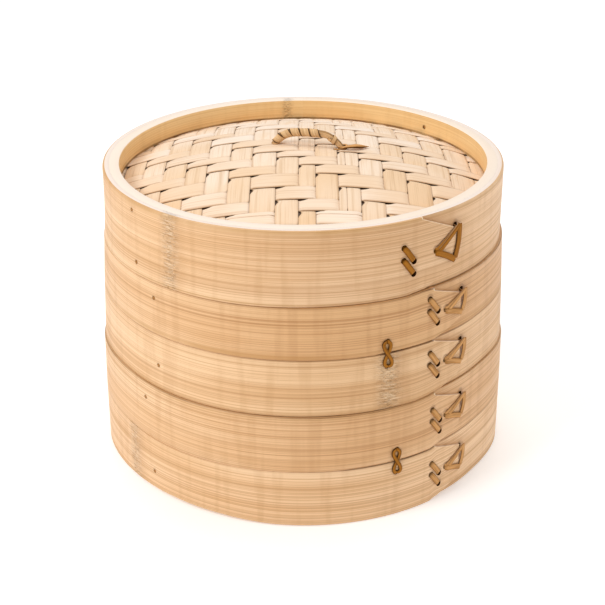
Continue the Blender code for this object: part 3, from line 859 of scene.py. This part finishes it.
def lacing_path(start, end, surface, lift=0.0, bow=0.0, dives=(True, True)):
    """A strip between two places (azimuth, height) that may dive at its ends."""
    scale = radians(1) * surface
    a, b = Vector((start[0] * scale, start[1])), Vector((end[0] * scale, end[1]))
    length = (b - a).length
    direction = (b - a) / length
    across = Vector((-direction.y, direction.x))
    steps = [(length * k / 10, 0.42) for k in range(11) if 1.1 < length * k / 10 < length - 1.1]
    first, last = [DIVE_STEPS if dive else ((0.0, 0.36), (0.6, 0.4)) for dive in dives]
    rises = [*first, *steps, *((length - run, rise) for run, rise in last[::-1])]
    path, normals = [], []
    for run, rise in rises:
        share = min(max(run / length, 0), 1)
        spot = a + direction * run + across * bow * sin(pi * share)
        azimuth = spot.x / scale
        out = polar(azimuth, 1, 0)
        path.append(polar(azimuth, surface + rise + lift * smooth(rise * 4), spot.y))
        inward = direction if share < 0.5 else -direction
        flat = Vector((cos(radians(azimuth)) * inward.x,
                       sin(radians(azimuth)) * inward.x, inward.y))
        upright = smooth((rise + 1.0) / 1.3)
        normals.append((out * upright - flat * (1 - upright)).normalized())
    return path, normals


def shifted(place, right, up, surface):
    return place[0] + right / (radians(1) * surface), place[1] + up


def make_stitch(band, part, body, material, seed):
    """A short flat stitch that leaves the outer part of each of its holes open."""
    node = f"{band}_stitch_{part}"
    surface = ring_size(band)[1]
    top, bottom = legs(node)
    path, normals = lacing_path(shifted(top, 0.5, -0.6, surface), shifted(bottom, -0.45, 0.55, surface),
                                surface, lift=0.1)
    strand = (path, normals, STITCH_WIDTH, 0.85, seed, None, (0.85, 0.35))
    strands_piece(f"{node}_strand", [strand], body, material, node)


def make_triangle(band, body, material, seed, width):
    """Flat strands laid hole to hole: a doubled left side, a bowed right side and a foot."""
    node = f"{band}_triangle"
    apex, left, foot = triangle_corners(band)
    surface = ring_size(band)[1]

    def place(corner, right, up):
        return shifted(corner, right, up, surface)

    rows = ((place(apex, -0.3, -0.6), place(left, 0.0, 0.7), 0.0, 0.0, 0.75, (0.9, -0.6), (1, 1)),
            (place(apex, 1.6, 0.2), place(foot, -1.0, 1.7), -0.1, 1.0, 1.4, (-0.15, 1.0), (0, 0)),
            (place(apex, 1.2, 0.5), place(left, 1.5, -0.5), 0.3, 0.0, 1.05, (0.45, -0.7), (0, 1)),
            (place(left, 0.3, -0.9), place(foot, -1.6, 1.2), 0.35, 0.35, 1.2, (0.15, 0.55), (1, 0)))
    strands = []
    for index, (start, end, lift, bow, wide, shade, dives) in enumerate(rows):
        path, normals = lacing_path(start, end, surface, lift, bow, dives)
        strands.append((path, normals, width * wide, 0.62, seed + index, None, shade))
    strands_piece(f"{node}_strand", strands, body, material, node)


def make_lacing(band, body, material, seed, width, stitch_seeds):
    make_triangle(band, body, material, seed, width)
    for part, stitch_seed in zip(("upper", "lower"), stitch_seeds):
        make_stitch(band, part, body, material, stitch_seed)


def make_tie(tier, seed):
    """A figure of eight of thin strand, two strands that cross over the seam."""
    node = f"{tier}_seam_tie"
    (azimuth, high), (_, low) = legs(node)
    surface = ring_size(f"{tier}_lower_band")[1]
    seam, reach = (high + low) / 2, (high - low) / 2
    scale = radians(1) * surface
    strands = []
    slant = 1.4 if tier == "upper_tier" else 1.1
    for turn, lift in ((1, 0.45), (-1, 0.95)):
        path, normals = [], []
        for step in range(33):
            share = step / 32
            height = reach * cos(pi * share)
            side = turn * 1.7 * sin(2 * pi * share) * (1.0 if share < 0.5 else 1.08)
            side += slant * (share - 0.5) * (1 - smooth((abs(share - 0.5) - 0.4) / 0.1))
            crossing = math.exp(-((share - 0.5) / 0.16) ** 2)
            end = smooth((abs(share - 0.5) - 0.42) / 0.08)
            rise = 0.45 + (lift - 0.45) * crossing - 2.6 * end ** 2
            azimuth_here = azimuth + side / scale
            path.append(polar(azimuth_here, surface + rise, seam + height))
            normals.append(polar(azimuth_here, 1, 0))
        strands.append((path, normals, 1.9, 1.0, seed + turn, None, (2.0, 1.8)))
    strands_piece(f"{node}_strand", strands, tier, RATTAN_DARK, node)


def make_peg(node, body, seed, out=0.0):
    """A round bamboo nail, its end cut a little rough, that stands out a little further."""
    azimuth, height = node_place(node)
    _, radius, _ = to_polar(node_points(node))
    low, high = radius.min(), radius.max() + out
    loops, grains, marks = [], [], []
    ends = ((low - 0.05, 0.75), (low + 0.1, 0.93), (high - 0.55, 0.93), (high - 0.32, 0.88),
            (high - 0.22, 0.66))
    for depth, size in ends:
        loop = []
        for side in range(14):
            turn = 2 * pi * side / 14
            reach = size * (1 + 0.06 * wave(cos(turn), sin(turn), seed))
            shift = degrees(reach * cos(turn) / high)
            rough = 0.08 * wave(3 * turn, seed) if size < 0.95 else 0.0
            loop.append(polar(azimuth + shift, depth + rough, height + reach * sin(turn)))
            grains.append((depth, turn, seed))
            # A little of the lighter crown colour, and painted shade on the peg's sides.
            marks.append((0.3, 0.45 if size > 0.85 else 0.15, 0.0))
        loops.append(loop)
    piece = new_piece(f"{node}_nail", *loft(loops))
    paint_points(piece, grains, marks)
    finish_piece(piece, body, RATTAN_TAN, node)


# ---------------- handle

HANDLE_ROUTE = ((-16.2, 153.6), (-15.5, 157.0), (-13.4, 160.4), (-10.2, 163.4), (-6.0, 165.3),
                (0.0, 165.9), (8.2, 165.9), (12.6, 165.0), (16.2, 162.6), (18.6, 160.2),
                (20.2, 157.4), (20.6, 153.4))
HANDLE_OFFSET, HANDLE_SLOPE = 2.0, -0.207


def handle_point(x, z, out=0.0):
    return Vector((x, HANDLE_OFFSET + HANDLE_SLOPE * x + out, z))


def smooth_path(points, steps):
    """Points along a Catmull-Rom curve through the given points."""
    ends = [points[0] * 2 - points[1]] + list(points) + [points[-1] * 2 - points[-2]]
    path = []
    for a, b, c, d in zip(ends, ends[1:], ends[2:], ends[3:]):
        for step in range(steps):
            t = step / steps
            path.append(0.5 * ((2 * b) + (c - a) * t + (2 * a - 5 * b + 4 * c - d) * t ** 2
                               + (3 * b - a - 3 * c + d) * t ** 3))
    path.append(points[-1])
    return path


def make_handle_core():
    """Two split canes side by side, bent into the loop."""
    strands = []
    for out, lift, seed in ((0.62, 0.05, 3.0), (-0.62, -0.05, 4.0)):
        path = smooth_path([handle_point(x, z + lift, out) for x, z in HANDLE_ROUTE], 8)
        side = Vector((HANDLE_SLOPE, -1, 0)).normalized() * (1 if out < 0 else -1)
        strands.append((path, [side] * len(path), 2.9, 1.25, seed, None, (0.5, 0.5)))
    strands_piece("handle_canes", strands, "lid", CANE, "handle_core")


def wound_strip(route, turns, start, covered, width, seed):
    """A flat strip that goes round a stretch of the handle in close turns."""
    grip = smooth_path([handle_point(x, z) for x, z in route], 40)
    lengths = np.cumsum([0.0] + [(after - before).length for before, after in zip(grip, grip[1:])])
    per_turn = 22
    path, normals = [], []
    for step in range(int(turns * per_turn) + 1):
        turn = 2 * pi * step / per_turn
        share = start + covered * step / (turns * per_turn)
        index = int(np.searchsorted(lengths, share * lengths[-1]))
        tangent = (grip[index] - grip[index - 1]).normalized()
        side = tangent.cross(Vector((0, 0, 1))).normalized()
        out = side * cos(turn) + tangent.cross(side) * sin(turn)
        size = 1.78 + 0.12 * wave(step / 9, 4.0)
        path.append(grip[index] + out * size)
        normals.append(out)
    # Both edges take painted shade, darkening the gaps between turns.
    return path, normals, width, 0.6, seed, None, (2.2, 1.2)


def make_handle_wrap():
    """A flat strip wound along the grip, with dark gaps, and one turn more on the right leg."""
    strips = [wound_strip(HANDLE_ROUTE[1:7], 5.4, 0.055, 0.94, 4.6, 9.0),
              wound_strip(HANDLE_ROUTE[6:10], 1.3, 0.5, 0.22, 2.2, 10.0)]
    strands_piece("handle_wrap_strip", strips, "lid", CANE, "handle_wrap")


def make_handle_knot():
    """A turn of thin strand round the right leg, with a stub and a long pointed tail."""
    centre = handle_point(20.0, 158.9)
    path = [centre + Vector((-4.6, -2.6, 0.3))]
    for step in range(25):
        turn = radians(-110 + 15 * step)
        path.append(centre + Vector((1.75 * cos(turn), 1.75 * sin(turn),
                                     -0.2 + 0.05 * step)))
    path += [centre + Vector((3.6, -1.5, 1.4)), centre + Vector((6.6, -0.3, 1.2)),
             centre + Vector((9.6, 1.6, 0.4)), centre + Vector((13.4, 4.5, -0.7))]
    normals = [Vector((0, -0.35, 1)).normalized()] * len(path)
    bends = len(path) - 1

    def taper(share):
        index = share * bends
        if index <= bends - 4:
            return 0.62
        return (1.1, 1.5, 1.25, 0.16)[min(int(index - (bends - 3)), 3)]

    strands = [(path, normals, 1.75, 1.15, 12.0, taper, (1.6, 0.9))]
    for tilt, lift in ((0.55, 0.9), (-0.6, -0.5)):
        loop = [centre + Vector((2.0 * cos(turn), 2.0 * sin(turn),
                                 lift + tilt * cos(turn) + 0.08 * turn))
                for turn in (radians(18 * step - 150) for step in range(22))]
        strands.append((loop, normals[:22], 1.0, 0.8, 13.0 + tilt, None, (1.6, 1.0)))
    strands_piece("handle_knot_strand", strands, "lid", RATTAN_TAN, "handle_knot")


# ---------------- floors

def board(node, body, material, seed, along_x, bow=0.25):
    """A split bamboo board with eased edges, slightly bowed, a little uneven in width."""
    points = node_points(node)
    low, high = points.min(0), points.max(0)
    run, side = (0, 1) if along_x else (1, 0)
    half_width, centre = (high[side] - low[side]) / 2, (high[side] + low[side]) / 2
    reach_radius = np.hypot(points[:, 0], points[:, 1]).max()
    thick = high[2] - low[2]
    count = int((high[run] - low[run]) / 2.5)
    ease = min(0.45, thick * 0.3)
    inset, shoulder = 1 - ease / half_width, 0.5 - ease / thick
    outline = ((-1, -shoulder), (-1, shoulder), (-inset, 0.5), (-0.5, 0.5), (0, 0.5), (0.5, 0.5),
               (inset, 0.5), (1, shoulder), (1, -shoulder), (inset, -0.5), (0, -0.5), (-inset, -0.5))
    loops, grains, marks = [], [], []
    for step in range(count + 1):
        share = 2 * step / count - 1
        loop = []
        for v, w in outline:
            across = centre + v * (half_width - 0.12 + 0.12 * wave(share * 4, seed))
            reach = sqrt(reach_radius ** 2 - across ** 2) - 0.1
            place = share * reach
            height = (low[2] + high[2]) / 2 + w * thick - 0.06 * bow * (1 - v * v) * (w > 0)
            x, y = (place, across) if along_x else (across, place)
            loop.append(Vector((x, y, height)))
            grains.append((place, v * half_width + (20 if w < 0 else 0), seed))
            end = smooth((abs(share) - 1 + 1.5 / reach) * reach)
            marks.append((max(0.6 if abs(v) > 0.93 and abs(w) < 0.5 else 0.0, end), 0.0, 0.0))
        loops.append(loop)
    piece = new_piece(f"{node}_board", *loft(loops))
    paint_points(piece, grains, marks)
    return finish_piece(piece, body, material, node)


def make_floor(tier, seed):
    for index, part in enumerate(("left", "right")):
        board(f"{tier}_crossbar_{part}", tier, FLOOR_BAR, seed + index * 0.4, False)
    slats = sorted(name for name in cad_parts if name.startswith(f"{tier}_slat_"))
    for index, name in enumerate(slats):
        board(name, tier, FLOOR_SLAT, seed + 1.3 + index * 0.77, True)


# ---------------- the whole object

def make_tier(tier, seed, scars, looks):
    pegs = [node_place(f"{tier}_peg_{part}") for part in ("lower", "upper")]
    ties = legs(f"{tier}_seam_tie")[::-1]
    for index, part in enumerate(("lower", "upper")):
        band = f"{tier}_{part}_band"
        seed += 1.7
        make_band(band, tier, seed, 10.6, 6.5, scars[index], [pegs[index]], [ties[index]],
                  *looks[index])
        make_lacing(band, tier, RATTAN_TAN, seed, 2.3, (seed, seed + 3.1))
        make_peg(f"{tier}_peg_{part}", tier, seed + 2)
    make_tie(tier, seed)
    make_wall(f"{tier}_inner_hoop", tier, seed + 5, pegs,
              [f"{tier}_crossbar_left", f"{tier}_crossbar_right"])
    make_floor(tier, seed + 8)


def make_lid():
    left, back, hem = [node_place(f"lid_peg_{part}") for part in ("left", "back", "hem")]
    # Golden painted shade bands below the rim and above the lower edge, and the tint of the painted shade
    # by azimuth.
    make_band("lid_hoop", "lid", 2.9, 12.5, 9.5, [(-37.6, 8.0)], [left, back, hem], (),
              ((-0.9, 2.2, 0.5), (1.0, 1.6, 0.35)), (0.935, 0.925, 0.93), True)
    make_lacing("lid_hoop", "lid", RATTAN_DARK, 1.5, 2.6, (31.0, 31.0 + 2.7))
    make_wall("lid_rim_liner", "lid", 13.0, [left, back], scars=[(-174.6, 4.6)])
    make_wall("lid_support_ring", "lid", 14.0)
    for index, part in enumerate(("left", "back", "hem")):
        make_peg(f"lid_peg_{part}", "lid", 6.1 + index, 0.6 if part == "hem" else 0.0)
    make_weave()
    make_handle_core()
    make_handle_wrap()
    make_handle_knot()


# ---------------- stage

CAMERA_PLACE, CAMERA_PITCH, CAMERA_LENS = (-0.254, -670.06, 393.4), 25.65, 83.07


def make_camera():
    data = bpy.data.cameras.new("camera")
    data.lens, data.sensor_width = CAMERA_LENS, 36
    data.clip_start, data.clip_end = 0.01, 20
    camera = add_object("camera", data)
    camera.location = Vector(CAMERA_PLACE) * MM
    camera.rotation_euler = (radians(90 - CAMERA_PITCH), 0, 0)
    bpy.context.scene.camera = camera


def area_light(name, place, target_height, size, power):
    """A round soft light aimed at the steamer's axis; lengths in metres."""
    data = bpy.data.lights.new(name, "AREA")
    data.shape, data.size, data.energy = "DISK", size, power
    lamp = add_object(name, data)
    lamp.location = place
    direction = Vector((0, 0, target_height)) - Vector(place)
    lamp.rotation_euler = direction.to_track_quat("-Z", "Y").to_euler()


def make_floor_plane():
    mesh = bpy.data.meshes.new("floor")
    mesh.from_pydata([(-6, -6, 0), (6, -6, 0), (6, 6, 0), (-6, 6, 0)], [], [(0, 1, 2, 3)])
    floor = add_object("floor", mesh)
    floor.location.z = -0.0002
    g = Graph("floor")
    for name, value in (("Base Color", (0.93, 0.925, 0.92, 1)), ("Roughness", 0.7),
                        ("Emission Color", (1.0, 1.0, 1.0, 1)), ("Emission Strength", 0.26)):
        g.shader.inputs[name].default_value = value
    mesh.materials.append(g.material)


def make_stage():
    make_floor_plane()
    world = bpy.data.worlds.new("studio")
    world.use_nodes = True
    background = world.node_tree.nodes["Background"]
    background.inputs["Color"].default_value = (1.0, 0.995, 0.985, 1)
    background.inputs["Strength"].default_value = 0.55
    bpy.context.scene.world = world
    bpy.context.scene.view_settings.view_transform = "Standard"
    area_light("key", (-1.1, -0.7, 1.3), 0.08, 0.8, 14)
    area_light("side", (1.5, 0.1, 0.7), 0.08, 0.9, 3)
    area_light("top", (0.1, 0.5, 1.8), 0.1, 1.0, 10)


make_camera()
make_stage()
# Each band's looks: golden painted shade bands by its edges, and the tint of its painted shade by
# azimuth.
make_tier("lower_tier", 20.0, ([(-56.5, 9.0)], []),
          ((((1.2, 2.0, 0.2),), (1.0, 1.02, 1.05)),
           (((-1.0, 1.8, 0.3),), (0.88, 0.82, 0.74))))
make_tier("upper_tier", 40.0, ([(23.2, 10.0)], [(150.0, 5.0)]),
          ((((1.6, 2.0, 0.2),), (0.92, 0.90, 0.86)),
           (((1.4, 2.2, 0.45),), (0.82, 0.72, 0.58))))
make_lid()
